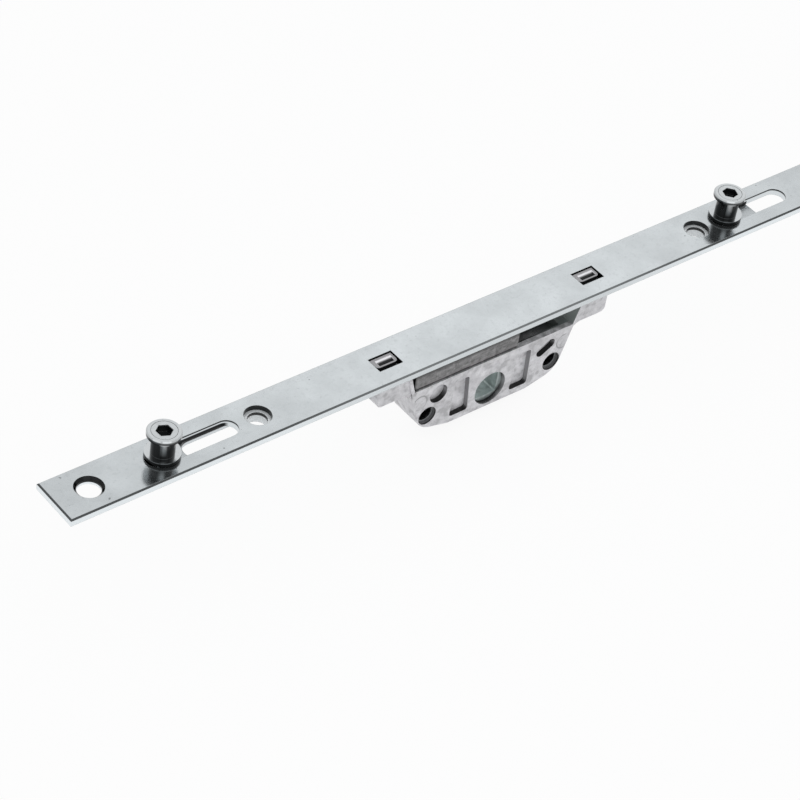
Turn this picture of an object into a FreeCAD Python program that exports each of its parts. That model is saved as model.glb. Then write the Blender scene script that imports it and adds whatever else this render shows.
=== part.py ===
import FreeCAD, Part
import math
import os

os.makedirs("parts", exist_ok=True)

V = FreeCAD.Vector

# Espagnolette gearbox for a window sash, in mm.
# X runs along the faceplate, Z points out of its front face, Y is the spindle axis.
# Origin: middle of the faceplate's front face, straight above the spindle.
# Rest pose: drive at the left end of its stroke, follower square to the plate.

# faceplate
face_length = 270.0
face_width = 15.0
face_thick = 2.0
face_edge = 0.4
end_screw_inset = 10.0
end_screw_d = 6.2
end_csk_d = 7.7
inner_screw_inset = 60.0
inner_hole_d = 7.3
lug_hole_x = 7.5
lug_hole_y = 5.25

# drive
stroke = 18.0
cam_inset = 40.0
cam_slot_w = 6.0
bar_thick = 2.0
bar_width = 11.0
bar_over_cam = 11.5
slide_gap = 0.2
side_gap = 0.1
block_width = 9.4
block_rest_gap = 0.2
block_end_gap = 1.0
rivet_d = 4.0
rivet_inset = 6.1

# casing
backset = 21.0
handle_pitch = 43.0
window_over_screw = 5.7
square_af = 7.0
case_thick = 10.2
case_depth = 6.5
case_corner_r = 7.3
case_rim = 0.35
ledge_width = 2.0
pillar_head = 0.8
pillar_foot = 0.9
window_lean = 1.9
sill_drop = 0.86
sill_gap = 0.4
split_offset = 1.8
ear_length = 9.4
ear_depth = 6.6
ear_thick = 8.8
ear_corner_r = 1.6
ear_root_r = 4.0
pocket_deep = 1.6
pocket_r = 0.9
slant_w = 3.0
dimple_d = 5.8
sleeve_d = 5.8
sleeve_bore = 4.6
sleeve_recess = 1.2
bush_bore = 5.3
bush_sink = 1.45
post_y = 4.2
lug_gap = 0.3
lug_near_gap = 1.5
lug_sink = 0.35
lug_rim = 0.5

# gear pair: one stroke is a quarter turn, three tooth pitches
teeth_per_stroke = 3
pressure_deg = 25.0
tooth_add = 0.8
tooth_ded = 1.0
backlash = 0.08
gear_face = 4.0
hub_d = 10.3
hub_recess = 1.4
run_fit = 0.075

# cams: a free roller on a pin whose lower journal is eccentric
cam_top = 8.1
cam_head_d = 8.9
cam_head_t = 1.3
cam_neck_d = 6.2
cam_foot_d = 9.3
cam_foot_t = 1.15
cam_lift = 0.15
cam_hex_af = 3.9
cam_hex_deep = 2.2
cam_ecc = 0.5
cam_angle = {"left": 35.0, "right": 70.0}
pin_d = 5.1
pin_head_d = 6.6
pin_head_t = 0.8
pin_fit = 0.05
journal_d = 4.6
washer_d = 7.6
washer_t = 0.6

# derived
end_screw_x = face_length / 2.0 - end_screw_inset
inner_screw_x = face_length / 2.0 - inner_screw_inset
cam_mid_x = face_length / 2.0 - cam_inset
pitch_r = stroke / (math.pi / 2.0)
tooth_pitch = stroke / teeth_per_stroke
module = tooth_pitch / math.pi
add_h = tooth_add * module
ded_h = tooth_ded * module
sector_teeth = teeth_per_stroke + 1
axis_z = -backset
pitch_z = axis_z + pitch_r
sill_z = pitch_z - sill_drop
handle_x = handle_pitch / 2.0
case_y = case_thick / 2.0
case_bottom = axis_z - case_depth
split_y = -split_offset
bar_top = -face_thick - slide_gap
bar_bottom = bar_top - bar_thick
ear_top = bar_bottom - slide_gap
ear_bottom = ear_top - ear_depth
half_stroke = stroke / 2.0
stud_x = {"left": -cam_mid_x - half_stroke, "right": cam_mid_x - half_stroke}
collar_d = cam_slot_w - 0.6
slot_len = stroke + collar_d + 3.7
window_foot = handle_x + window_over_screw
window_head = window_foot + window_lean
case_head = window_head + pillar_head
case_foot = window_foot + pillar_foot
ear_end = case_head + ear_length
lug_mid = case_head + ear_length / 2.0
post_x = ear_length
block_left = block_rest_gap - window_foot
block_right = window_foot - stroke - block_end_gap
block_y = block_width / 2.0
block_bottom = sill_z + sill_gap
rack_root = pitch_z + ded_h
rivet_foot = (bar_bottom + rack_root) / 2.0
rivet_x = {"a": block_left + rivet_inset, "b": block_right - rivet_inset}
bush_d = inner_hole_d
reach = face_length


def box(x0, x1, y0, y1, z0, z1):
    return Part.makeBox(x1 - x0, y1 - y0, z1 - z0, V(x0, y0, z0))


def rod_z(x, y, z0, z1, d):
    return Part.makeCylinder(d / 2.0, z1 - z0, V(x, y, z0), V(0, 0, 1))


def rod_y(x, z, y0, y1, d):
    return Part.makeCylinder(d / 2.0, y1 - y0, V(x, y0, z), V(0, 1, 0))


def cone_z(x, y, z0, z1, d0, d1):
    return Part.makeCone(d0 / 2.0, d1 / 2.0, z1 - z0, V(x, y, z0), V(0, 0, 1))


def prism_y(points, y0, y1):
    ring = [V(x, y0, z) for x, z in points]
    ring.append(ring[0])
    return Part.Face(Part.makePolygon(ring)).extrude(V(0, y1 - y0, 0))


def profile_y(corners, y0, y1):
    # closed outline of (x, z, corner radius) in a side face, extruded along Y
    points = [V(x, y0, z) for x, z, r in corners]
    edges = []
    joints = []
    for k, (x, z, r) in enumerate(corners):
        p = points[k]
        if r == 0.0:
            joints.append((p, p))
            continue
        back = (points[k - 1] - p).normalize()
        ahead = (points[(k + 1) % len(points)] - p).normalize()
        half = back.getAngle(ahead) / 2.0
        start = p + back * (r / math.tan(half))
        end = p + ahead * (r / math.tan(half))
        inward = (back + ahead).normalize()
        crest = p + inward * (r / math.sin(half) - r)
        edges.append(Part.Arc(start, crest, end).toShape())
        joints.append((start, end))
    for k in range(len(joints)):
        edges.append(Part.makeLine(joints[k - 1][1], joints[k][0]))
    ring = Part.Wire(Part.__sortEdges__(edges))
    return Part.Face(ring).extrude(V(0, y1 - y0, 0))


def slot_z(x0, x1, width, z0, z1):
    # round-ended slot along X from x0 to x1
    r = width / 2.0
    body = box(x0 + r, x1 - r, -r, r, z0, z1)
    ends = [rod_z(x, 0, z0, z1, width) for x in (x0 + r, x1 - r)]
    return body.fuse(ends).removeSplitter()


def slot_y(xa, za, xb, zb, width, y0, y1):
    # round-ended slot between two points of a side face
    r = width / 2.0
    dx, dz = xb - xa, zb - za
    n = math.hypot(dx, dz)
    px, pz = -dz / n * r, dx / n * r
    corners = [(xa + px, za + pz), (xb + px, zb + pz), (xb - px, zb - pz), (xa - px, za - pz)]
    body = prism_y(corners, y0, y1)
    return body.fuse([rod_y(xa, za, y0, y1, width), rod_y(xb, zb, y0, y1, width)]).removeSplitter()


def edges_where(shape, test):
    found = []
    for e in shape.Edges:
        if test(e):
            found.append(e)
    return found


def hexagon(x, y, z0, z1, across, turn_deg):
    r = across / math.sqrt(3.0)
    ring = []
    for k in range(7):
        a = math.radians(turn_deg + 60.0 * k)
        ring.append(V(x + r * math.cos(a), y + r * math.sin(a), z0))
    return Part.Face(Part.makePolygon(ring)).extrude(V(0, 0, z1 - z0))


def mirrored(corners):
    return corners + [(-x, z, r) for x, z, r in reversed(corners)]


def case_outline():
    # slanted ends that turn round the handle screws into the flat bottom
    return mirrored([(case_head, ear_top, 0.0), (case_foot, sill_z, 0.0),
                     (handle_x + 2.4, case_bottom + 2.5, case_corner_r),
                     (handle_x - 7.9, case_bottom, 0.0)])


def end_slant(z):
    # x of the casing's slanted end below the sill
    drop = (sill_z - z) / (sill_z - case_bottom - 2.5)
    return case_foot + (handle_x + 2.4 - case_foot) * drop


def ear_outline(side):
    # arm under the bar, with a hollow corner where it leaves the casing
    low = ear_bottom - ear_root_r
    root = end_slant(low) - pillar_head
    corners = [(root, ear_top, 0.0), (ear_end, ear_top, 0.0), (ear_end, ear_bottom, ear_corner_r),
               (end_slant(ear_bottom), ear_bottom, ear_root_r), (end_slant(low), low, 0.0),
               (root, low, 0.0)]
    return [(side * x, z, r) for x, z, r in corners]


def window_prism():
    # the window widens towards the bar and is open above the casing
    lean = window_lean / (ear_top - sill_z)
    top = sill_z + backset
    head = window_foot + lean * (top - sill_z)
    corners = [(-window_foot, sill_z), (window_foot, sill_z), (head, top), (-head, top)]
    return prism_y(corners, -case_y - 1, case_y + 1)


def gear_room():
    # space for the toothed sector and, along its top, for the rack teeth
    y = gear_face / 2.0 + 0.15
    room = rod_y(0, axis_z, -y, y, 2 * (pitch_r + add_h + 0.4))
    room = room.common(box(-reach, reach, -y, y, case_bottom + 1.1, 0))
    lane_x = half_stroke + (teeth_per_stroke - 0.5) * tooth_pitch
    lane_y = case_y - ledge_width
    return room.fuse(box(-lane_x, lane_x, -lane_y, lane_y, sill_z - 3.0, sill_z + 0.5))


def face_span(face, deep):
    # y range of a cut that goes deep into the near (-1) or the far (1) face
    if face < 0:
        return -case_y - 1, -case_y + deep
    return case_y - deep, case_y + 1


def pocket(side, face):
    # weight-saving pocket between the spindle bore and the handle screw
    foot, head = case_bottom + 2.4, sill_z - 2.6
    span = handle_x - sleeve_d / 2.0 - hub_d / 2.0
    inner, outer = hub_d / 2.0 + 0.15 * span, hub_d / 2.0 + 0.62 * span
    corners = [(inner, foot), (outer, foot), (outer - 0.4, head), (inner + 1.2, head)]
    return profile_y([(side * x, z, pocket_r) for x, z in corners], *face_span(face, pocket_deep))


def slanting_recess():
    # beside the window on the near face, right of the spindle
    low = (handle_x - 4.6, axis_z + 5.2)
    high = (handle_x - 1.5, axis_z + 7.0)
    return slot_y(*low, *high, slant_w, *face_span(-1, pocket_deep))


def round_recess():
    # its wider counterpart left of the spindle
    return rod_y(2.85 - handle_x, axis_z + 6.45, *face_span(-1, pocket_deep), dimple_d)


def case_block():
    # both halves together, before the split
    body = profile_y(case_outline(), -case_y, case_y)
    rim = edges_where(body, lambda e: abs(abs(e.Vertexes[0].Y) - case_y) < 1e-4 and
                      abs(e.Vertexes[0].Y - e.Vertexes[1].Y) < 1e-4 and
                      min(e.Vertexes[0].Z, e.Vertexes[1].Z) < sill_z - 0.5)
    body = body.makeChamfer(case_rim, rim)
    cuts = [window_prism(), gear_room(), slanting_recess(), round_recess()]
    cuts.append(rod_y(0, axis_z, -case_y - 1, case_y + 1, hub_d + 2 * run_fit))
    for s in (-1, 1):
        cuts.append(rod_y(s * handle_x, axis_z, -case_y - 1, case_y + 1, sleeve_d))
        for f in (-1, 1):
            cuts.append(pocket(s, f))
    return body.cut(cuts)


def rectangle_z(x0, x1, y0, y1, z):
    return Part.makePolygon([V(x0, y0, z), V(x1, y0, z), V(x1, y1, z), V(x0, y1, z), V(x0, y0, z)])


def lug(side):
    # post that passes through the bar; its head is staked against the far side of its hole
    x = side * lug_mid
    post = box(x - post_x / 2, x + post_x / 2, -post_y / 2, post_y / 2, ear_top - 0.5, -face_thick)
    x0, x1 = x - lug_hole_x / 2 + lug_gap, x + lug_hole_x / 2 - lug_gap
    y0, y1 = -lug_hole_y / 2 + lug_near_gap, lug_hole_y / 2 - lug_gap
    top = -lug_sink
    head = box(x0, x1, y0, y1, -face_thick, top)
    near = edges_where(head, lambda e: all(abs(v.Y - y0) < 1e-4 for v in e.Vertexes) and
                       abs(e.Vertexes[0].Z - e.Vertexes[1].Z) > 1.0)
    head = head.makeFillet(1.1, near)
    # punched dish: steep on the near side, with long slopes on the left and far sides
    mouth = rectangle_z(x0 + 2 * lug_rim, x1 - lug_rim, y0 + lug_rim, y1 - lug_rim, top + 0.1)
    floor = rectangle_z(x - 1.3, x1 - lug_rim - 0.2, y0 + lug_rim + 0.1, y0 + lug_rim + 0.8, top - 1.0)
    return post.fuse(head.cut(Part.makeLoft([mouth, floor], True)))


def faceplate():
    h, w = face_length / 2.0, face_width / 2.0
    body = box(-h, h, -w, w, -face_thick, 0)
    rim = edges_where(body, lambda e: all(abs(v.Z) < 1e-4 for v in e.Vertexes))
    body = body.makeChamfer(face_edge, rim)
    low, high = -face_thick - 1, 1
    cuts = []
    for s in (-1, 1):
        x = s * end_screw_x
        cuts.append(rod_z(x, 0, low, high, end_screw_d))
        deep = (end_csk_d - end_screw_d) / 2.0
        cuts.append(cone_z(x, 0, -deep, 0.5, end_screw_d, end_screw_d + 2 * (deep + 0.5)))
        cuts.append(rod_z(s * inner_screw_x, 0, low, high, inner_hole_d))
        mid = s * cam_mid_x
        cuts.append(slot_z(mid - slot_len / 2, mid + slot_len / 2, cam_slot_w, low, high))
        x0, x1 = s * lug_mid - lug_hole_x / 2, s * lug_mid + lug_hole_x / 2
        cuts.append(box(x0, x1, -lug_hole_y / 2, lug_hole_y / 2, low, high))
    return body.cut(cuts)


def casing_front():
    # near half: everything in front of the split line
    return case_block().common(box(-reach, reach, -reach, split_y, -reach, reach))


def casing_rear():
    # far half with the two ears and their lugs
    far = case_block().common(box(-reach, reach, split_y, reach, -reach, reach))
    near_part = profile_y(case_outline(), -case_y - 1, split_y)
    for s in (-1, 1):
        ear = profile_y(ear_outline(s), -ear_thick / 2, ear_thick / 2)
        ear = ear.cut([near_part, window_prism(), gear_room()])
        far = far.fuse([ear, lug(s).cut([near_part, window_prism()])])
    return far.removeSplitter()


def screw_sleeve(side):
    # tube pressed through both halves; the handle screw passes through it
    x = side * handle_x
    end = case_y - sleeve_recess
    return rod_y(x, axis_z, -end, end, sleeve_d).cut(rod_y(x, axis_z, -case_y, case_y, sleeve_bore))


def guide_bush(side):
    # pressed in the inner hole; the bar's slot runs along it, the screw passes through
    x = side * inner_screw_x
    tube = rod_z(x, 0, bar_bottom - 0.4, -bush_sink, bush_d)
    return tube.cut(rod_z(x, 0, bar_bottom - 2, 1, bush_bore))


def drive_bar():
    x0 = stud_x["left"] - bar_over_cam
    x1 = stud_x["right"] + bar_over_cam
    body = box(x0, x1, -bar_width / 2, bar_width / 2, bar_bottom, bar_top)
    upright = edges_where(body, lambda e: abs(e.Vertexes[0].Z - e.Vertexes[1].Z) > 0.5)
    body = body.makeChamfer(1.0, upright)
    z0, z1 = bar_bottom - 1, bar_top + 1
    cuts = []
    for s in (-1, 1):
        # slot for the guide bush: it must clear the whole stroke
        x = s * inner_screw_x
        r = bush_d / 2.0 + 0.5
        cuts.append(slot_z(x - stroke - r, x + r, bush_d + 2 * side_gap, z0, z1))
        # slot for the lug post
        x = s * lug_mid
        r = post_x / 2.0 + 0.4
        cuts.append(box(x - stroke - r, x + r, -post_y / 2 - side_gap, post_y / 2 + side_gap, z0, z1))
    for k in ("left", "right"):
        cuts.append(rod_z(stud_x[k], 0, z0, z1, journal_d + 2 * pin_fit))
    for k in ("a", "b"):
        cuts.append(rod_z(rivet_x[k], 0, z0, z1, rivet_d))
    return body.cut(cuts)


def rack_tooth(x):
    # straight-flanked tooth, thinned by half the backlash on each flank
    t = math.tan(math.radians(pressure_deg))
    half = tooth_pitch / 4.0 - backlash / 2.0
    z_root = rack_root + 0.3
    z_tip = pitch_z - add_h
    pts = [(x - half - t * (z_root - pitch_z), z_root), (x - half + t * add_h, z_tip),
           (x + half - t * add_h, z_tip), (x + half + t * (z_root - pitch_z), z_root)]
    return prism_y(pts, -gear_face / 2, gear_face / 2)


def rack_block():
    body = box(block_left, block_right, -block_y, block_y, block_bottom, bar_bottom)
    ends = edges_where(body, lambda e: abs(e.Vertexes[0].Z - e.Vertexes[1].Z) > 1.0)
    body = body.makeChamfer(0.3, ends)
    y = gear_face / 2.0 + 0.3
    lane = box(block_left - 1, block_right + 1, -y, y, block_bottom - 3, rack_root)
    holes = [rod_z(rivet_x[k], 0, rivet_foot, bar_bottom, rivet_d) for k in ("a", "b")]
    body = body.cut([lane] + holes)
    teeth = []
    for k in range(teeth_per_stroke + 2):
        x = tooth_pitch / 2.0 - k * tooth_pitch
        teeth.append(rack_tooth(x))
    return body.fuse(teeth).removeSplitter()


def bar_rivet(key):
    # filed flush with the bar, so that it clears the faceplate
    return rod_z(rivet_x[key], 0, rivet_foot, bar_top, rivet_d)


def gear_tooth(angle):
    # involute flanks on the sector; angle from straight up, positive towards +X
    a = math.radians(pressure_deg)
    base_r = pitch_r * math.cos(a)
    tip_r = pitch_r + add_h
    root_r = pitch_r - ded_h
    inv = math.tan(a) - a
    half = (tooth_pitch / 4.0 - backlash / 2.0) / pitch_r
    flank = [(root_r - 0.4, half + inv)]
    steps = 6
    for k in range(steps + 1):
        r = base_r + (tip_r - base_r) * k / steps
        u = math.acos(min(1.0, base_r / r))
        flank.append((r, half + inv - (math.tan(u) - u)))
    pts = [(r, w) for r, w in flank] + [(r, -w) for r, w in reversed(flank)]
    ring = []
    for r, w in pts:
        g = angle + w
        ring.append((r * math.sin(g), axis_z + r * math.cos(g)))
    return prism_y(ring, -gear_face / 2, gear_face / 2)


def follower():
    # spindle hub with a toothed sector that moves the rack
    y = case_y - hub_recess
    hub = rod_y(0, axis_z, -y, y, hub_d)
    root_r = pitch_r - ded_h
    step = tooth_pitch / pitch_r
    a0 = -(sector_teeth - 1) * step - step / 4.0 - 0.06
    a1 = step / 4.0 + 0.06
    web = [(0.0, axis_z)]
    n = 16
    for k in range(n + 1):
        g = a0 + (a1 - a0) * k / n
        web.append((root_r * math.sin(g), axis_z + root_r * math.cos(g)))
    body = hub.fuse(prism_y(web, -gear_face / 2, gear_face / 2))
    body = body.fuse([gear_tooth(-k * step) for k in range(sector_teeth)])
    s = square_af / 2.0
    hole = box(-s, s, -case_y, case_y, axis_z - s, axis_z + s)
    corners = edges_where(hole, lambda e: abs(e.Vertexes[0].Y - e.Vertexes[1].Y) > 1.0)
    return body.cut(hole.makeFillet(0.5, corners)).removeSplitter()


def cam_axis(side):
    # middle of the roller, off the journal by the eccentricity
    a = math.radians(cam_angle[side])
    return stud_x[side] + cam_ecc * math.cos(a), cam_ecc * math.sin(a)


def cam_pin(side):
    # journal turns in the bar, collar runs in the faceplate slot, head holds the roller
    x = stud_x[side]
    cx, cy = cam_axis(side)
    tail_z = bar_bottom - washer_t
    tail = rod_z(x, 0, tail_z - 0.5, tail_z, journal_d + 0.8)
    journal = rod_z(x, 0, tail_z, bar_top, journal_d)
    collar = rod_z(x, 0, bar_top, 0.05, collar_d)
    pin = rod_z(cx, cy, 0.05, cam_top - pin_head_t, pin_d)
    head = rod_z(cx, cy, cam_top - pin_head_t, cam_top, pin_head_d)
    key = hexagon(cx, cy, cam_top - cam_hex_deep, cam_top + 1, cam_hex_af, cam_angle[side])
    return tail.fuse([journal, collar, pin, head]).cut(key).removeSplitter()


def cam_roller(side):
    # spool that runs behind the keep
    cx, cy = cam_axis(side)
    z0 = cam_lift
    e = 0.3
    foot_z = z0 + cam_foot_t
    head_z = cam_top - cam_head_t
    nr, fr, hr = cam_neck_d / 2, cam_foot_d / 2, cam_head_d / 2
    br = pin_d / 2 + pin_fit
    seat_r = pin_head_d / 2 + 0.1
    seat_z = cam_top - pin_head_t - 0.05
    prof = [(br, z0), (fr, z0), (fr, foot_z), (nr, foot_z), (nr, head_z), (hr, head_z),
            (hr, cam_top - e), (hr - e, cam_top), (seat_r, cam_top), (seat_r, seat_z),
            (br, seat_z), (br, z0)]
    ring = [V(cx + r, cy, z) for r, z in prof]
    return Part.Face(Part.makePolygon(ring)).revolve(V(cx, cy, 0), V(0, 0, 1), 360)


def pin_washer(side):
    # washer under the bar that the pin's tail is peened over
    x = stud_x[side]
    body = rod_z(x, 0, bar_bottom - washer_t, bar_bottom, washer_d)
    return body.cut(rod_z(x, 0, bar_bottom - 2, bar_bottom + 1, journal_d + 2 * pin_fit))


def save(name, shape):
    shape.exportStep("parts/" + name + ".step")


save("faceplate", faceplate())
save("casing_front", casing_front())
save("casing_rear", casing_rear())
save("screw_sleeve_left", screw_sleeve(-1))
save("screw_sleeve_right", screw_sleeve(1))
save("guide_bush_left", guide_bush(-1))
save("guide_bush_right", guide_bush(1))
save("drive_bar", drive_bar())
save("rack_block", rack_block())
save("bar_rivet_a", bar_rivet("a"))
save("bar_rivet_b", bar_rivet("b"))
save("follower", follower())
for name in ("left", "right"):
    save("cam_pin_" + name, cam_pin(name))
    save("cam_roller_" + name, cam_roller(name))
    save("pin_washer_" + name, pin_washer(name))
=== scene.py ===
import bmesh
import bpy
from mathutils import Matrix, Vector


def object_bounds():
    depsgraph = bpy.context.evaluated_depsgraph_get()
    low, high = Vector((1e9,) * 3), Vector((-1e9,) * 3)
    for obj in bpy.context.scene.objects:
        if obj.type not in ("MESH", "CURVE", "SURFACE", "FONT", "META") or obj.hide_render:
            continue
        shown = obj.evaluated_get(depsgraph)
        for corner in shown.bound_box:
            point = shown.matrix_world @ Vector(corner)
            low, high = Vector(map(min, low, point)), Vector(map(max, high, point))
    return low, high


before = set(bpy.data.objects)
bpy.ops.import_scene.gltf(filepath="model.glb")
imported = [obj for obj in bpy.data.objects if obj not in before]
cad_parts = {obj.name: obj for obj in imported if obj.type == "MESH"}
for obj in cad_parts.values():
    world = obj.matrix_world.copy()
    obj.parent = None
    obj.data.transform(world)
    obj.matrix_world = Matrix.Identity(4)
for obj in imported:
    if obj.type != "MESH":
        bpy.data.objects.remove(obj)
cad_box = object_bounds()

# Metres, the CAD frame: X along the faceplate, Y along the spindle, Z out of the plate's front.

# colours of the metals, and the black and dark tones of painted shade for their dark places
FACE_TINT = (0.51, 0.54, 0.555)
CAST_TINT = (0.72, 0.715, 0.735)
RACK_TINT = (0.17, 0.168, 0.17)
FOLLOWER_TINT = (0.55, 0.62, 0.61)
CAM_TINT = (0.47, 0.49, 0.50)
STEEL_TINT = (0.55, 0.57, 0.58)
WINDOW_SHADE = (0.17, 0.19, 0.185)
SHADE_BLACK = (0.006, 0.007, 0.008)

# how fine each kind of mark is: the scale of its noise
PLATE_CLOUDS = 80.0
METAL_CLOUDS = 130.0
MARK_GAPS = 260.0
DENTS = 420.0
CAST_PATCHES = 480.0
MOTTLE_GRAINS = 650.0
FINE_GRAINS = 900.0
DRAWN_LINES = 1400.0
SPECKS = 1500.0

# the faceplate: its back, the walls inside it, and where its edges and front change their painted shade and
# highlight
HALF_LENGTH = cad_box[1].x
END_FACE = 0.001
PLATE_BACK = -0.002
HOLE_HALF = 0.0045
CAM_SLOT_X = (HALF_LENGTH - 0.0545, HALF_LENGTH - 0.0255)
BAR_SHADOW_Z = PLATE_BACK * 0.45
COUNTERSUNK_Z = PLATE_BACK * 0.68
EDGE_PAINTED_LIGHT_X = (0.035, 0.075)
FRONT_DARKENS = 0.04
END_PAINTED_SHADE = (0.86, 0.86, 0.86)

# the drive bar and the guide bushes
BAR_END = HALF_LENGTH - 0.0375
BAR_TOP, BAR_BOTTOM = -0.0022, -0.0042
BUSH_TOP, BUSH_FOOT = -0.00145, -0.0046

# the casing: its window, screw bores, ejector marks and staked lugs
CASE_FACE = 0.0051
RECESS_FLOOR = CASE_FACE - 0.0004
FLOOR_LIFT = (1.16, 1.16, 1.16)
SILL_Z = -0.0104
SILL_DEPTH = 0.0006
BELOW_SILL = SILL_Z - 0.0004
LANE_FLOOR = SILL_Z - 0.003
LANE_HALF = 0.0035
WINDOW_X = (0.0262, 0.0295)
WINDOW_LIT_FROM = 0.014
SPINDLE_Z = -0.021
SCREW_X = 0.0215
SCREW_BORE = 0.003
SLEEVE_RECESS = 0.0012
EJECTOR_X, EJECTOR_Z, EJECTOR_R = 0.0248, -0.0152, 0.0023
EJECTOR_LINE = 0.0002
DISH_Z = (-0.0014, -0.00035)

# the rack block: the painted shade under the plate and the painted dark line at its foot
RACK_SHADE_Z = -0.006
RACK_FOOT_Z = SILL_Z + 0.0006

# the cams: their top, the hexagon socket and the painted reflection streaks on the neck
CAM_TOP = 0.0081
SOCKET_FLOOR = 0.004
SOCKET_MOUTH = 0.0009
STREAKS = 3.0
STREAK_TURN = 0.21
STREAK_Z = (0.0020, 0.0066)
STREAK_TOP = 0.0071

# edges of the masks, and the reach and limits of the shading in gaps
SHARP = 0.00005
GAP = 0.003
GAP_SHUT, GAP_CLEAR = 0.22, 0.62

# the camera that the photograph was taken with, fitted to its edges and circles
CAMERA_AT = (-0.416032, -0.398474, 0.471682)
CAMERA_TURN = (0.844117, -0.121033, -0.666200)
CAMERA_LENS = 127.74
SENSOR_WIDTH = 36.0
CLIP = (0.05, 20.0)

# the studio: floor, room and lamps (name, place, aim, sides, watts)
FLOOR_DROP = 0.004
FLOOR_HALF = 3.0
FLOOR_TINT = (0.9, 0.9, 0.9, 1)
FLOOR_ROUGH = 0.9
FLOOR_GLOW = 0.92
ROOM_BELOW = (0.10, 0.10, 0.10, 1)
ROOM_ABOVE = (0.85, 0.86, 0.87, 1)
ROOM_BRIGHT_FROM = 0.75
WHITE = (1, 1, 1, 1)
LAMPS = (
    ("key", (-0.25, -0.75, 0.95), (0, 0, 0), (0.9, 0.9), 1.6),
    ("fill", (-0.9, -0.1, 0.5), (0, 0, 0), (0.7, 0.7), 0.6),
    ("low_left", (-0.7, -0.15, 0.06), (0, 0, -0.02), (0.5, 0.12), 0.22),
    ("rim", (0.5, 0.7, 0.6), (0, 0, 0), (0.8, 0.8), 0.5),
)


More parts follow.
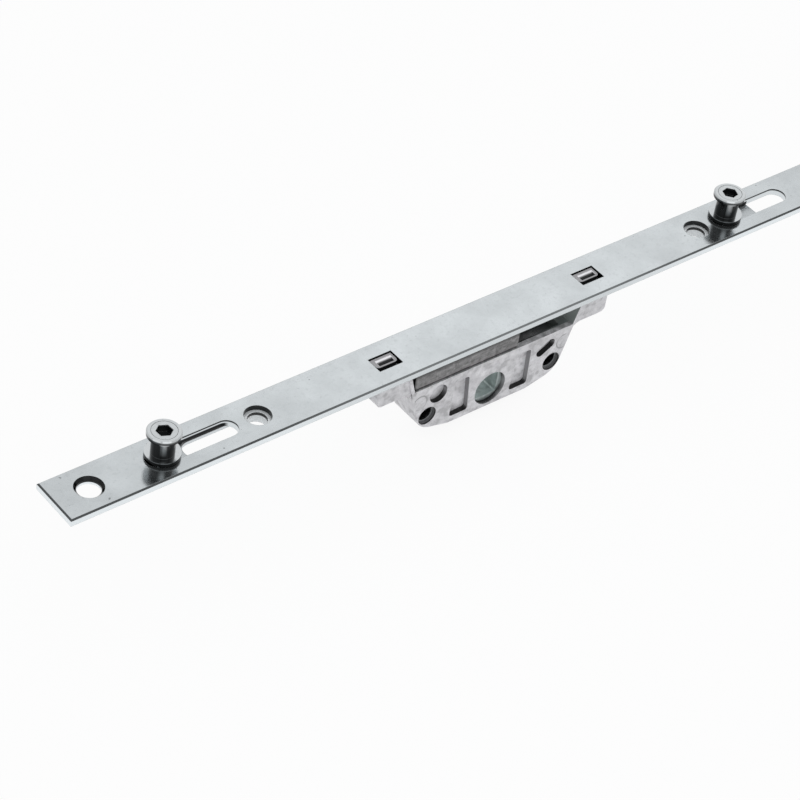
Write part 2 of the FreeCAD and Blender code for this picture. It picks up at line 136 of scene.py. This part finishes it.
class Nodes:
    """Builds one procedural material. Masks are 0 to 1 and can be mixed or multiplied."""

    def __init__(self, name):
        self.mat = bpy.data.materials.new(name)
        self.mat.use_nodes = True
        self.tree = self.mat.node_tree
        self.shader = self.tree.nodes["Principled BSDF"]
        place = self.add("ShaderNodeTexCoord")
        self.coord = place.outputs["Object"]
        self.x, self.y, self.z = self.parts(self.coord)
        self.nx, self.ny, self.nz = self.parts(place.outputs["Normal"])

    def add(self, kind, **values):
        """Adds a node; each value goes to its input, or else to the node's own setting."""
        node = self.tree.nodes.new(kind)
        for key, value in values.items():
            if key in node.inputs:
                node.inputs[key].default_value = value
            else:
                setattr(node, key, value)
        return node

    def feed(self, value, socket):
        """Links an output to a socket, or writes a number or colour on it."""
        if isinstance(value, (int, float)):
            socket.default_value = value
        elif isinstance(value, tuple):
            socket.default_value = (*value, 1.0)
        else:
            self.tree.links.new(value, socket)

    def parts(self, vector):
        """The three numbers of a vector."""
        split = self.add("ShaderNodeSeparateXYZ")
        self.feed(vector, split.inputs[0])
        return split.outputs[0], split.outputs[1], split.outputs[2]

    def calc(self, operation, a, b=0.0):
        node = self.add("ShaderNodeMath", operation=operation)
        self.feed(a, node.inputs[0])
        self.feed(b, node.inputs[1])
        return node.outputs[0]

    def size(self, value):
        """The value without its sign."""
        return self.calc("ABSOLUTE", value)

    def away(self, value, middle):
        """How far the value is from the middle, with its sign."""
        return self.calc("SUBTRACT", value, middle)

    def from_axis(self, a, a0, b, b0):
        """Distance from an axis that crosses the plane of a and b at a0, b0."""
        da, db = self.away(a, a0), self.away(b, b0)
        square = self.calc("ADD", self.calc("MULTIPLY", da, da), self.calc("MULTIPLY", db, db))
        return self.calc("SQRT", square)

    def both(self, *masks):
        """1 where every mask is 1."""
        total = masks[0]
        for mask in masks[1:]:
            total = self.calc("MULTIPLY", total, mask)
        return total

    def map_range(self, value, **ends):
        node = self.add("ShaderNodeMapRange")
        for end, number in ends.items():
            node.inputs[end.replace("_", " ").title()].default_value = number
        self.feed(value, node.inputs["Value"])
        return node.outputs["Result"]

    def between(self, value, start, end):
        """0 where the value is at start, 1 where it is at end."""
        return self.map_range(value, from_min=start, from_max=end)

    def span(self, mask, low, high):
        """low where the mask is 0, high where it is 1."""
        return self.map_range(mask, to_min=low, to_max=high)

    def under(self, value, limit, soft=SHARP):
        return self.between(value, limit + soft, limit - soft)

    def over(self, value, limit, soft=SHARP):
        return self.between(value, limit - soft, limit + soft)

    def upright(self):
        """Walls that run along Z."""
        return self.between(self.size(self.nz), 0.6, 0.3)

    def slanting(self):
        """Chamfers and countersinks of the plate."""
        lean = self.size(self.nz)
        return self.both(self.between(lean, 0.95, 0.85), self.between(lean, 0.35, 0.5))

    def steep(self):
        """Walls that run into the casing's sides."""
        return self.between(self.size(self.ny), 0.75, 0.35)

    def soft_normal(self, width):
        """The normal, rounded along edges."""
        bevel = self.add("ShaderNodeBevel", Radius=width)
        bevel.samples = 4
        return bevel.outputs["Normal"]

    def edge_wear_and_highlight(self, width):
        """0 on flats, up to 1 along edges."""
        geo = self.add("ShaderNodeNewGeometry")
        dot = self.add("ShaderNodeVectorMath", operation="DOT_PRODUCT")
        self.feed(self.soft_normal(width), dot.inputs[0])
        self.feed(geo.outputs["Normal"], dot.inputs[1])
        return self.between(dot.outputs["Value"], 1.0, 0.75)

    def openness(self, distance, shut, clear):
        """0 in narrow recesses, 1 on open faces."""
        node = self.add("ShaderNodeAmbientOcclusion", Distance=distance)
        node.samples = 8
        return self.between(node.outputs["AO"], shut, clear)

    def noise(self, scale, detail=4.0, rough=0.55, stretch=None):
        node = self.add("ShaderNodeTexNoise", Scale=scale, Detail=detail, Roughness=rough)
        coord = self.coord
        if stretch:
            mapping = self.add("ShaderNodeMapping")
            mapping.inputs["Scale"].default_value = stretch
            self.feed(coord, mapping.inputs["Vector"])
            coord = mapping.outputs["Vector"]
        self.feed(coord, node.inputs["Vector"])
        return node.outputs["Fac"]

    def ramp(self, fac, stops):
        """Colours, or greys given as one number, at places from 0 to 1."""
        node = self.add("ShaderNodeValToRGB")
        self.feed(fac, node.inputs["Fac"])
        ring = node.color_ramp.elements
        while len(ring) < len(stops):
            ring.new(0.5)
        for element, (place, colour) in zip(ring, stops):
            element.position = place
            element.color = (*colour, 1.0) if isinstance(colour, tuple) else (colour, colour, colour, 1.0)
        return node.outputs["Color"]

    def bands(self, value, low, high, stops):
        """Colours over the way from low to high."""
        return self.ramp(self.between(value, low, high), stops)

    def mix(self, fac, a, b, blend="MIX"):
        """a where fac is 0, b where it is 1."""
        node = self.add("ShaderNodeMix", data_type="RGBA", blend_type=blend)
        self.feed(fac, node.inputs[0])
        self.feed(a, node.inputs[6])
        self.feed(b, node.inputs[7])
        return node.outputs[2]

    def stain(self, colour, noise, shares, tint):
        """Mixes a tint in by the noise: shares gives how much at which value of it."""
        return self.mix(self.ramp(noise, shares), colour, tint)

    def paint_gap_shade(self, colour, shut=GAP_SHUT, clear=GAP_CLEAR):
        """Paints narrow gaps black, as painted shade."""
        return self.mix(self.openness(GAP, shut, clear), SHADE_BLACK, colour)

    def bump(self, height, depth, soft):
        """Grain on the surface, and edges rounded by soft."""
        node = self.add("ShaderNodeBump", Strength=1.0, Distance=depth)
        self.feed(height, node.inputs["Height"])
        if soft:
            self.feed(self.soft_normal(soft), node.inputs["Normal"])
        self.feed(node.outputs["Normal"], self.shader.inputs["Normal"])


def shade(colour, share):
    return tuple(c * share for c in colour)


def skin(name, tint, mottle, cast=False, clouds=METAL_CLOUDS):
    """Starts a metal: its colour with clouds, patches and specks."""
    n = Nodes(name)
    colour = n.ramp(n.noise(clouds, 4.0, 0.6), [
        (0.34, shade(tint, 1.0 - mottle)), (0.66, shade(tint, 1.0 + mottle * 0.6))])
    if cast:
        patches = n.noise(CAST_PATCHES, 3.0, 0.55)
        colour = n.stain(colour, patches, [(0.34, 0.8), (0.52, 0.0)], shade(tint, 0.62))
        colour = n.stain(colour, patches, [(0.56, 0.0), (0.72, 0.7)], shade(tint, 1.25))
    fine = n.noise(FINE_GRAINS, 5.0, 0.6)
    specks = n.noise(SPECKS, 1.0, 0.5)
    colour = n.stain(colour, fine, [(0.30, 0.55), (0.46, 0.0)], shade(tint, 0.80))
    colour = n.stain(colour, specks, [(0.20, 0.8), (0.26, 0.0)], shade(tint, 0.45))
    return n, colour


def finish(n, colour, rough, metallic, grain, bump, cast=False, soft=0.00022):
    """Joins the colour to the shader, with grain (long on rolled metal) and soft edges."""
    n.feed(colour, n.shader.inputs["Base Color"])
    wear = n.noise(FINE_GRAINS, 5.0, 0.6)
    n.feed(n.span(wear, rough * 0.85, rough * 1.15), n.shader.inputs["Roughness"])
    n.shader.inputs["Metallic"].default_value = metallic
    height = n.noise(grain, 6.0, 0.65) if cast else n.noise(grain, 6.0, 0.5, (1.0, 9.0, 9.0))
    n.bump(height, bump, soft)
    return n.mat


def plate_zinc():
    """Zinc-plated strip: chamfers and hole walls painted dark as shade, cam-slot walls painted light and
    dark, with the bar's painted shadow.
    """
    n, colour = skin("zinc_plate", FACE_TINT, 0.10, clouds=PLATE_CLOUDS)
    colour = n.stain(colour, n.noise(DENTS, 1.0, 0.5), [(0.20, 0.8), (0.23, 0.0)], shade(FACE_TINT, 0.35))
    x = n.size(n.x)
    # painted shade: the plate darker towards its ends
    colour = n.mix(n.between(x, FRONT_DARKENS, HALF_LENGTH), colour, END_PAINTED_SHADE, blend="MULTIPLY")
    # the outer edges: chamfers painted dark as a reflection, side faces painted light, both more so towards
    # the ends
    upright, slanting = n.upright(), n.slanting()
    outer = n.between(x, *EDGE_PAINTED_LIGHT_X)
    colour = n.mix(slanting, colour, n.mix(outer, shade(FACE_TINT, 0.34), shade(FACE_TINT, 0.15)))
    colour = n.mix(upright, colour, n.mix(outer, shade(FACE_TINT, 1.2), shade(FACE_TINT, 1.5)))
    # holes and slots: walls and countersinks painted dark as shade
    inside = n.both(n.under(n.size(n.y), HOLE_HALF), n.under(x, HALF_LENGTH - END_FACE))
    inner_wall = n.both(inside, upright)
    colour = n.mix(n.both(inside, slanting), colour, shade(FACE_TINT, 0.03))
    colour = n.mix(inner_wall, colour, shade(FACE_TINT, 0.05))
    # cam slots: walls painted light and then dark towards the front, and black as the bar's painted shadow
    # where the bar lies below
    in_slot = n.both(inner_wall, n.over(x, CAM_SLOT_X[0]), n.under(x, CAM_SLOT_X[1]))
    painted_wall_light = n.bands(n.z, PLATE_BACK, 0.0, [(0.70, shade(FACE_TINT, 1.3)), (0.79, shade(FACE_TINT, 0.07))])
    straight = n.between(n.size(n.ny), 0.7, 0.9)
    bar_shadow = n.both(n.under(n.z, BAR_SHADOW_Z, 0.0001), straight, n.under(n.x, BAR_END))
    colour = n.mix(in_slot, colour, n.mix(bar_shadow, painted_wall_light, SHADE_BLACK))
    # end holes: painted light, bright below the countersink
    end_hole = n.both(inner_wall, n.over(x, CAM_SLOT_X[1]), n.under(n.z, COUNTERSUNK_Z))
    colour = n.mix(end_hole, colour, shade(FACE_TINT, 1.6))
    return finish(n, colour, 0.15, 0.97, 500.0, 0.000008)


def bar_zinc():
    """Drive bar: the same plating, with slot walls painted light below and black above, and gaps painted
    black, as painted light and shade.
    """
    n, colour = skin("bar_zinc", shade(FACE_TINT, 0.92), 0.06)
    inner = n.both(n.under(n.size(n.y), HOLE_HALF), n.upright())
    wall = n.bands(n.z, BAR_BOTTOM, BAR_TOP, [(0.42, shade(FACE_TINT, 1.3)), (0.52, SHADE_BLACK)])
    colour = n.paint_gap_shade(n.mix(inner, colour, wall))
    return finish(n, colour, 0.34, 0.8, 500.0, 0.00001)


def die_casting():
    """Casing: blotchy skin, ejector marks, edges painted lighter, painted shade on recess walls and inside,
    painted light on recess floors and lugs.
    """
    n, colour = skin("die_casting", CAST_TINT, 0.10, cast=True)
    x, depth, steep = n.size(n.x), n.size(n.y), n.steep()
    # edges painted lighter, as wear and painted highlight
    colour = n.mix(n.edge_wear_and_highlight(0.0003), colour, shade(CAST_TINT, 1.15))
    # ejector marks beside the handle screws
    ring = n.size(n.away(n.from_axis(x, EJECTOR_X, n.z, EJECTOR_Z), EJECTOR_R))
    broken = n.ramp(n.noise(MARK_GAPS, 1.0, 0.5), [(0.40, 0.1), (0.54, 1.0)])
    mark = n.both(n.under(ring, EJECTOR_LINE, 0.00012), n.between(n.size(n.ny), 0.8, 0.95), broken)
    colour = n.mix(mark, colour, shade(CAST_TINT, 0.52))
    # walls of recesses and bores: painted shade, grey beside, dark below
    below_sill = n.under(n.z, BELOW_SILL, 0.0002)
    wall = n.ramp(n.size(n.nz), [
        (0.05, shade(CAST_TINT, 0.45)), (0.45, shade(CAST_TINT, 0.12)), (0.75, shade(CAST_TINT, 0.015))])
    colour = n.mix(n.both(steep, n.openness(0.006, 0.88, 0.72), below_sill), colour, wall)
    # floors of recesses: painted light, a little lighter against the shade of their walls
    recess = n.both(n.under(depth, RECESS_FLOOR), n.over(n.size(n.ny), 0.9, 0.05), below_sill)
    colour = n.mix(recess, colour, FLOOR_LIFT, blend="MULTIPLY")
    # screw bores: painted shade, a dark mouth, then grey down to the sleeve
    bore = n.under(n.from_axis(x, SCREW_X, n.z, SPINDLE_Z), SCREW_BORE, 0.00003)
    bore_wall = n.bands(depth, CASE_FACE - SLEEVE_RECESS, CASE_FACE, [
        (0.55, shade(CAST_TINT, 0.22)), (0.75, shade(CAST_TINT, 0.04))])
    colour = n.mix(n.both(bore, steep), colour, bore_wall)
    # sill of the window: painted shade, darker with a mottle like the rack's
    in_window = n.under(x, WINDOW_X[1])
    sill = n.both(n.over(n.nz, 0.7, 0.1), n.under(n.size(n.away(n.z, SILL_Z)), SILL_DEPTH), in_window)
    sill_shade_mottle = n.ramp(n.noise(MOTTLE_GRAINS, 4.0, 0.7), [(0.40, 0.52), (0.62, 0.95)])
    colour = n.mix(sill, colour, n.mix(1.0, colour, sill_shade_mottle, blend="MULTIPLY"))
    # inside of the window: its lane and the end walls that face it, painted as shade: black, lighter towards
    # the right end
    window = n.both(in_window, n.over(n.z, LANE_FLOOR, 0.0001), n.under(n.z, BAR_BOTTOM, 0.0001))
    lane = n.both(n.under(depth, LANE_HALF), window)
    faces_in = n.under(n.calc("MULTIPLY", n.x, n.nx), -0.01, 0.005)
    end_wall = n.both(faces_in, n.over(x, WINDOW_X[0]), window)
    inside_shade = n.bands(n.x, WINDOW_LIT_FROM, WINDOW_X[1], [
        (0.0, SHADE_BLACK), (0.75, WINDOW_SHADE), (0.9, shade(WINDOW_SHADE, 1.6))])
    colour = n.mix(n.calc("MAXIMUM", lane, end_wall), colour, inside_shade)
    # staked lugs, painted highlight and shade: dull rim, bright slope, black foot of the dish, black walls
    in_plate = n.over(n.z, PLATE_BACK)
    dish = n.bands(n.z, *DISH_Z, [
        (0.45, SHADE_BLACK), (0.60, shade(CAST_TINT, 0.5)), (0.74, shade(CAST_TINT, 1.45)),
        (0.93, shade(CAST_TINT, 1.1)), (0.98, shade(CAST_TINT, 0.50))])
    colour = n.mix(in_plate, colour, dish)
    colour = n.mix(n.both(in_plate, n.between(n.size(n.nz), 0.15, 0.05)), colour, SHADE_BLACK)
    colour = n.paint_gap_shade(colour, 0.08, 0.36)
    return finish(n, colour, 0.55, 0.35, 700.0, 0.00006, cast=True)


def sintered_steel():
    """Rack block: grey powder steel, rubbed and with drawn marks along its travel."""
    n, colour = skin("sintered_steel", RACK_TINT, 0.22, cast=True)
    lines = n.noise(DRAWN_LINES, 3.0, 0.6, (0.06, 1.0, 1.0))
    grains = n.noise(MOTTLE_GRAINS, 4.0, 0.7)
    colour = n.stain(colour, lines, [(0.35, 0.0), (0.65, 0.8)], shade(RACK_TINT, 1.7))
    colour = n.stain(colour, grains, [(0.36, 0.75), (0.47, 0.0)], shade(RACK_TINT, 0.45))
    colour = n.stain(colour, grains, [(0.53, 0.0), (0.66, 0.8)], shade(RACK_TINT, 2.2))
    # painted shade: darker under the plate and along the foot
    colour = n.mix(n.over(n.z, RACK_SHADE_Z, 0.0006), colour, shade(RACK_TINT, 0.25))
    colour = n.mix(n.under(n.z, RACK_FOOT_Z, 0.0001), colour, shade(RACK_TINT, 0.08))
    return finish(n, n.paint_gap_shade(colour), 0.45, 0.5, 600.0, 0.00004, cast=True)


def follower_zinc():
    """Follower: greenish cast zinc."""
    n, colour = skin("follower_zinc", FOLLOWER_TINT, 0.12, cast=True)
    return finish(n, n.paint_gap_shade(colour), 0.40, 0.6, 500.0, 0.00003, cast=True)


def roller_steel():
    """Turned and polished spool, with painted reflections: bright rings, dark sides with three light streaks.
    """
    n, colour = skin("polished_steel", CAM_TINT, 0.04)
    # painted reflections: dark sides, with bright rings at the rims
    sides = n.bands(n.z, 0.0, CAM_TOP, [
        (0.12, shade(CAM_TINT, 0.02)), (0.155, shade(CAM_TINT, 0.4)), (0.17, shade(CAM_TINT, 0.03)),
        (0.80, shade(CAM_TINT, 0.06)), (0.86, shade(CAM_TINT, 0.03)), (0.91, shade(CAM_TINT, 0.15)),
        (0.95, shade(CAM_TINT, 0.40)), (0.975, shade(CAM_TINT, 1.1))])
    # painted reflections: three light streaks around the neck
    turn = n.calc("ARCTAN2", n.ny, n.nx)
    wave = n.calc("COSINE", n.calc("ADD", n.calc("MULTIPLY", turn, STREAKS), STREAK_TURN))
    streak = n.both(n.between(wave, 0.60, 1.0), n.between(n.z, *STREAK_Z), n.under(n.z, STREAK_TOP))
    sides = n.mix(streak, sides, shade(CAM_TINT, 0.85))
    colour = n.mix(n.upright(), colour, sides)
    return finish(n, colour, 0.12, 1.0, 300.0, 0.000004, soft=0.0)


def pin_steel():
    """Cam pin: bright head, hexagon socket painted black below its mouth as painted shade."""
    n, colour = skin("socket_steel", CAM_TINT, 0.05)
    key = n.bands(n.z, CAM_TOP - SOCKET_MOUTH, CAM_TOP, [
        (0.40, SHADE_BLACK), (0.70, shade(CAM_TINT, 0.12)), (0.95, shade(CAM_TINT, 0.60))])
    socket = n.both(n.over(n.z, SOCKET_FLOOR), n.under(n.z, CAM_TOP - 0.00005, 0.00003))
    mat = finish(n, n.mix(socket, colour, key), 0.18, 1.0, 300.0, 0.000004)
    n.feed(n.span(socket, 1.0, 0.0), n.shader.inputs["Metallic"])
    return mat


def turned_steel():
    """Screw sleeves, rivets and washers, painted dark inside as shade."""
    n, colour = skin("turned_steel", STEEL_TINT, 0.06)
    inner = n.both(n.steep(), n.openness(0.005, 0.80, 0.50))
    colour = n.mix(inner, colour, shade(STEEL_TINT, 0.04))
    return finish(n, colour, 0.28, 0.9, 400.0, 0.000006)


def bush_steel():
    """Guide bushes: bright, with the groove under the rim of the bore painted black as shade."""
    n, colour = skin("pressed_steel", shade(STEEL_TINT, 1.5), 0.06)
    bore = n.bands(n.z, BUSH_FOOT, BUSH_TOP, [(0.68, shade(STEEL_TINT, 1.4)), (0.72, SHADE_BLACK)])
    colour = n.mix(n.upright(), colour, bore)
    return finish(n, colour, 0.35, 0.3, 400.0, 0.000006)


def dress(node, material):
    """Gives a CAD node one material."""
    slots = bpy.data.objects[node].data.materials
    if not len(slots):
        slots.append(material)
    for i in range(len(slots)):
        slots[i] = material


def area_light(name, at, towards, sides, power):
    data = bpy.data.lights.new(name, "AREA")
    data.shape = "RECTANGLE"
    data.size, data.size_y = sides
    data.energy = power
    lamp = bpy.data.objects.new(name, data)
    bpy.context.scene.collection.objects.link(lamp)
    lamp.location = at
    lamp.rotation_euler = (Vector(towards) - Vector(at)).to_track_quat("-Z", "Y").to_euler()


def seen_directly(tree):
    """1 for rays that show the background: to the camera, in metal and through glass."""
    rays = tree.nodes.new("ShaderNodeLightPath")
    total = rays.outputs["Is Camera Ray"]
    for kind in ("Is Glossy Ray", "Is Transmission Ray"):
        either = tree.nodes.new("ShaderNodeMath")
        either.operation = "MAXIMUM"
        tree.links.new(total, either.inputs[0])
        tree.links.new(rays.outputs[kind], either.inputs[1])
        total = either.outputs[0]
    return total


def show_white(tree, share, lit, white, out):
    """Puts white over the lit shader, by its share."""
    mix = tree.nodes.new("ShaderNodeMixShader")
    tree.links.new(share, mix.inputs["Fac"])
    tree.links.new(lit.outputs[0], mix.inputs[1])
    tree.links.new(white.outputs[0], mix.inputs[2])
    tree.links.new(mix.outputs[0], out.inputs["Surface"])


def studio_world():
    """White where it is seen or mirrored; a soft grey room for what it lights."""
    world = bpy.data.worlds.new("studio")
    bpy.context.scene.world = world
    world.use_nodes = True
    tree = world.node_tree
    tree.nodes.clear()
    coord = tree.nodes.new("ShaderNodeTexCoord")
    split = tree.nodes.new("ShaderNodeSeparateXYZ")
    tree.links.new(coord.outputs["Generated"], split.inputs[0])
    ramp = tree.nodes.new("ShaderNodeValToRGB")
    below, above = ramp.color_ramp.elements
    below.color = ROOM_BELOW
    above.position = ROOM_BRIGHT_FROM
    above.color = ROOM_ABOVE
    tree.links.new(split.outputs["Z"], ramp.inputs["Fac"])
    room = tree.nodes.new("ShaderNodeBackground")
    tree.links.new(ramp.outputs["Color"], room.inputs["Color"])
    white = tree.nodes.new("ShaderNodeBackground")
    white.inputs["Color"].default_value = WHITE
    show_white(tree, seen_directly(tree), room, white, tree.nodes.new("ShaderNodeOutputWorld"))


def floor_paper():
    """Pale paper that keeps the shadow and reads white where it is seen."""
    mat = bpy.data.materials.new("floor_paper")
    mat.use_nodes = True
    tree = mat.node_tree
    paper = tree.nodes["Principled BSDF"]
    paper.inputs["Base Color"].default_value = FLOOR_TINT
    paper.inputs["Roughness"].default_value = FLOOR_ROUGH
    glow = tree.nodes.new("ShaderNodeEmission")
    glow.inputs["Color"].default_value = WHITE
    share = tree.nodes.new("ShaderNodeMath")
    share.operation = "MULTIPLY"
    share.inputs[1].default_value = FLOOR_GLOW
    tree.links.new(seen_directly(tree), share.inputs[0])
    show_white(tree, share.outputs[0], paper, glow, tree.nodes["Material Output"])
    return mat


def studio_floor():
    """Flat floor a little below the part."""
    mesh = bpy.data.meshes.new("studio_floor")
    grid = bmesh.new()
    bmesh.ops.create_grid(grid, x_segments=4, y_segments=4, size=FLOOR_HALF)
    bmesh.ops.translate(grid, verts=grid.verts, vec=(0, 0, cad_box[0].z - FLOOR_DROP))
    grid.to_mesh(mesh)
    grid.free()
    mesh.materials.append(floor_paper())
    floor = bpy.data.objects.new("studio_floor", mesh)
    bpy.context.scene.collection.objects.link(floor)


def studio_camera():
    data = bpy.data.cameras.new("camera")
    data.lens = CAMERA_LENS
    data.sensor_width = SENSOR_WIDTH
    data.clip_start, data.clip_end = CLIP
    cam = bpy.data.objects.new("camera", data)
    bpy.context.scene.collection.objects.link(cam)
    cam.location = CAMERA_AT
    cam.rotation_euler = CAMERA_TURN
    bpy.context.scene.camera = cam


# each material and the nodes that wear it
WORN_BY = (
    (plate_zinc, ["faceplate"]),
    (bar_zinc, ["drive_bar"]),
    (die_casting, ["casing_front", "casing_rear"]),
    (sintered_steel, ["rack_block"]),
    (roller_steel, ["cam_roller_left", "cam_roller_right"]),
    (pin_steel, ["cam_pin_left", "cam_pin_right"]),
    (turned_steel, ["screw_sleeve_left", "screw_sleeve_right", "bar_rivet_a", "bar_rivet_b",
                    "pin_washer_left", "pin_washer_right"]),
    (bush_steel, ["guide_bush_left", "guide_bush_right"]),
    (follower_zinc, ["follower"]),
)
for make, nodes in WORN_BY:
    material = make()
    for node in nodes:
        dress(node, material)

studio_world()
studio_floor()
studio_camera()
for lamp in LAMPS:
    area_light(*lamp)

bpy.context.scene.view_settings.view_transform = "Standard"
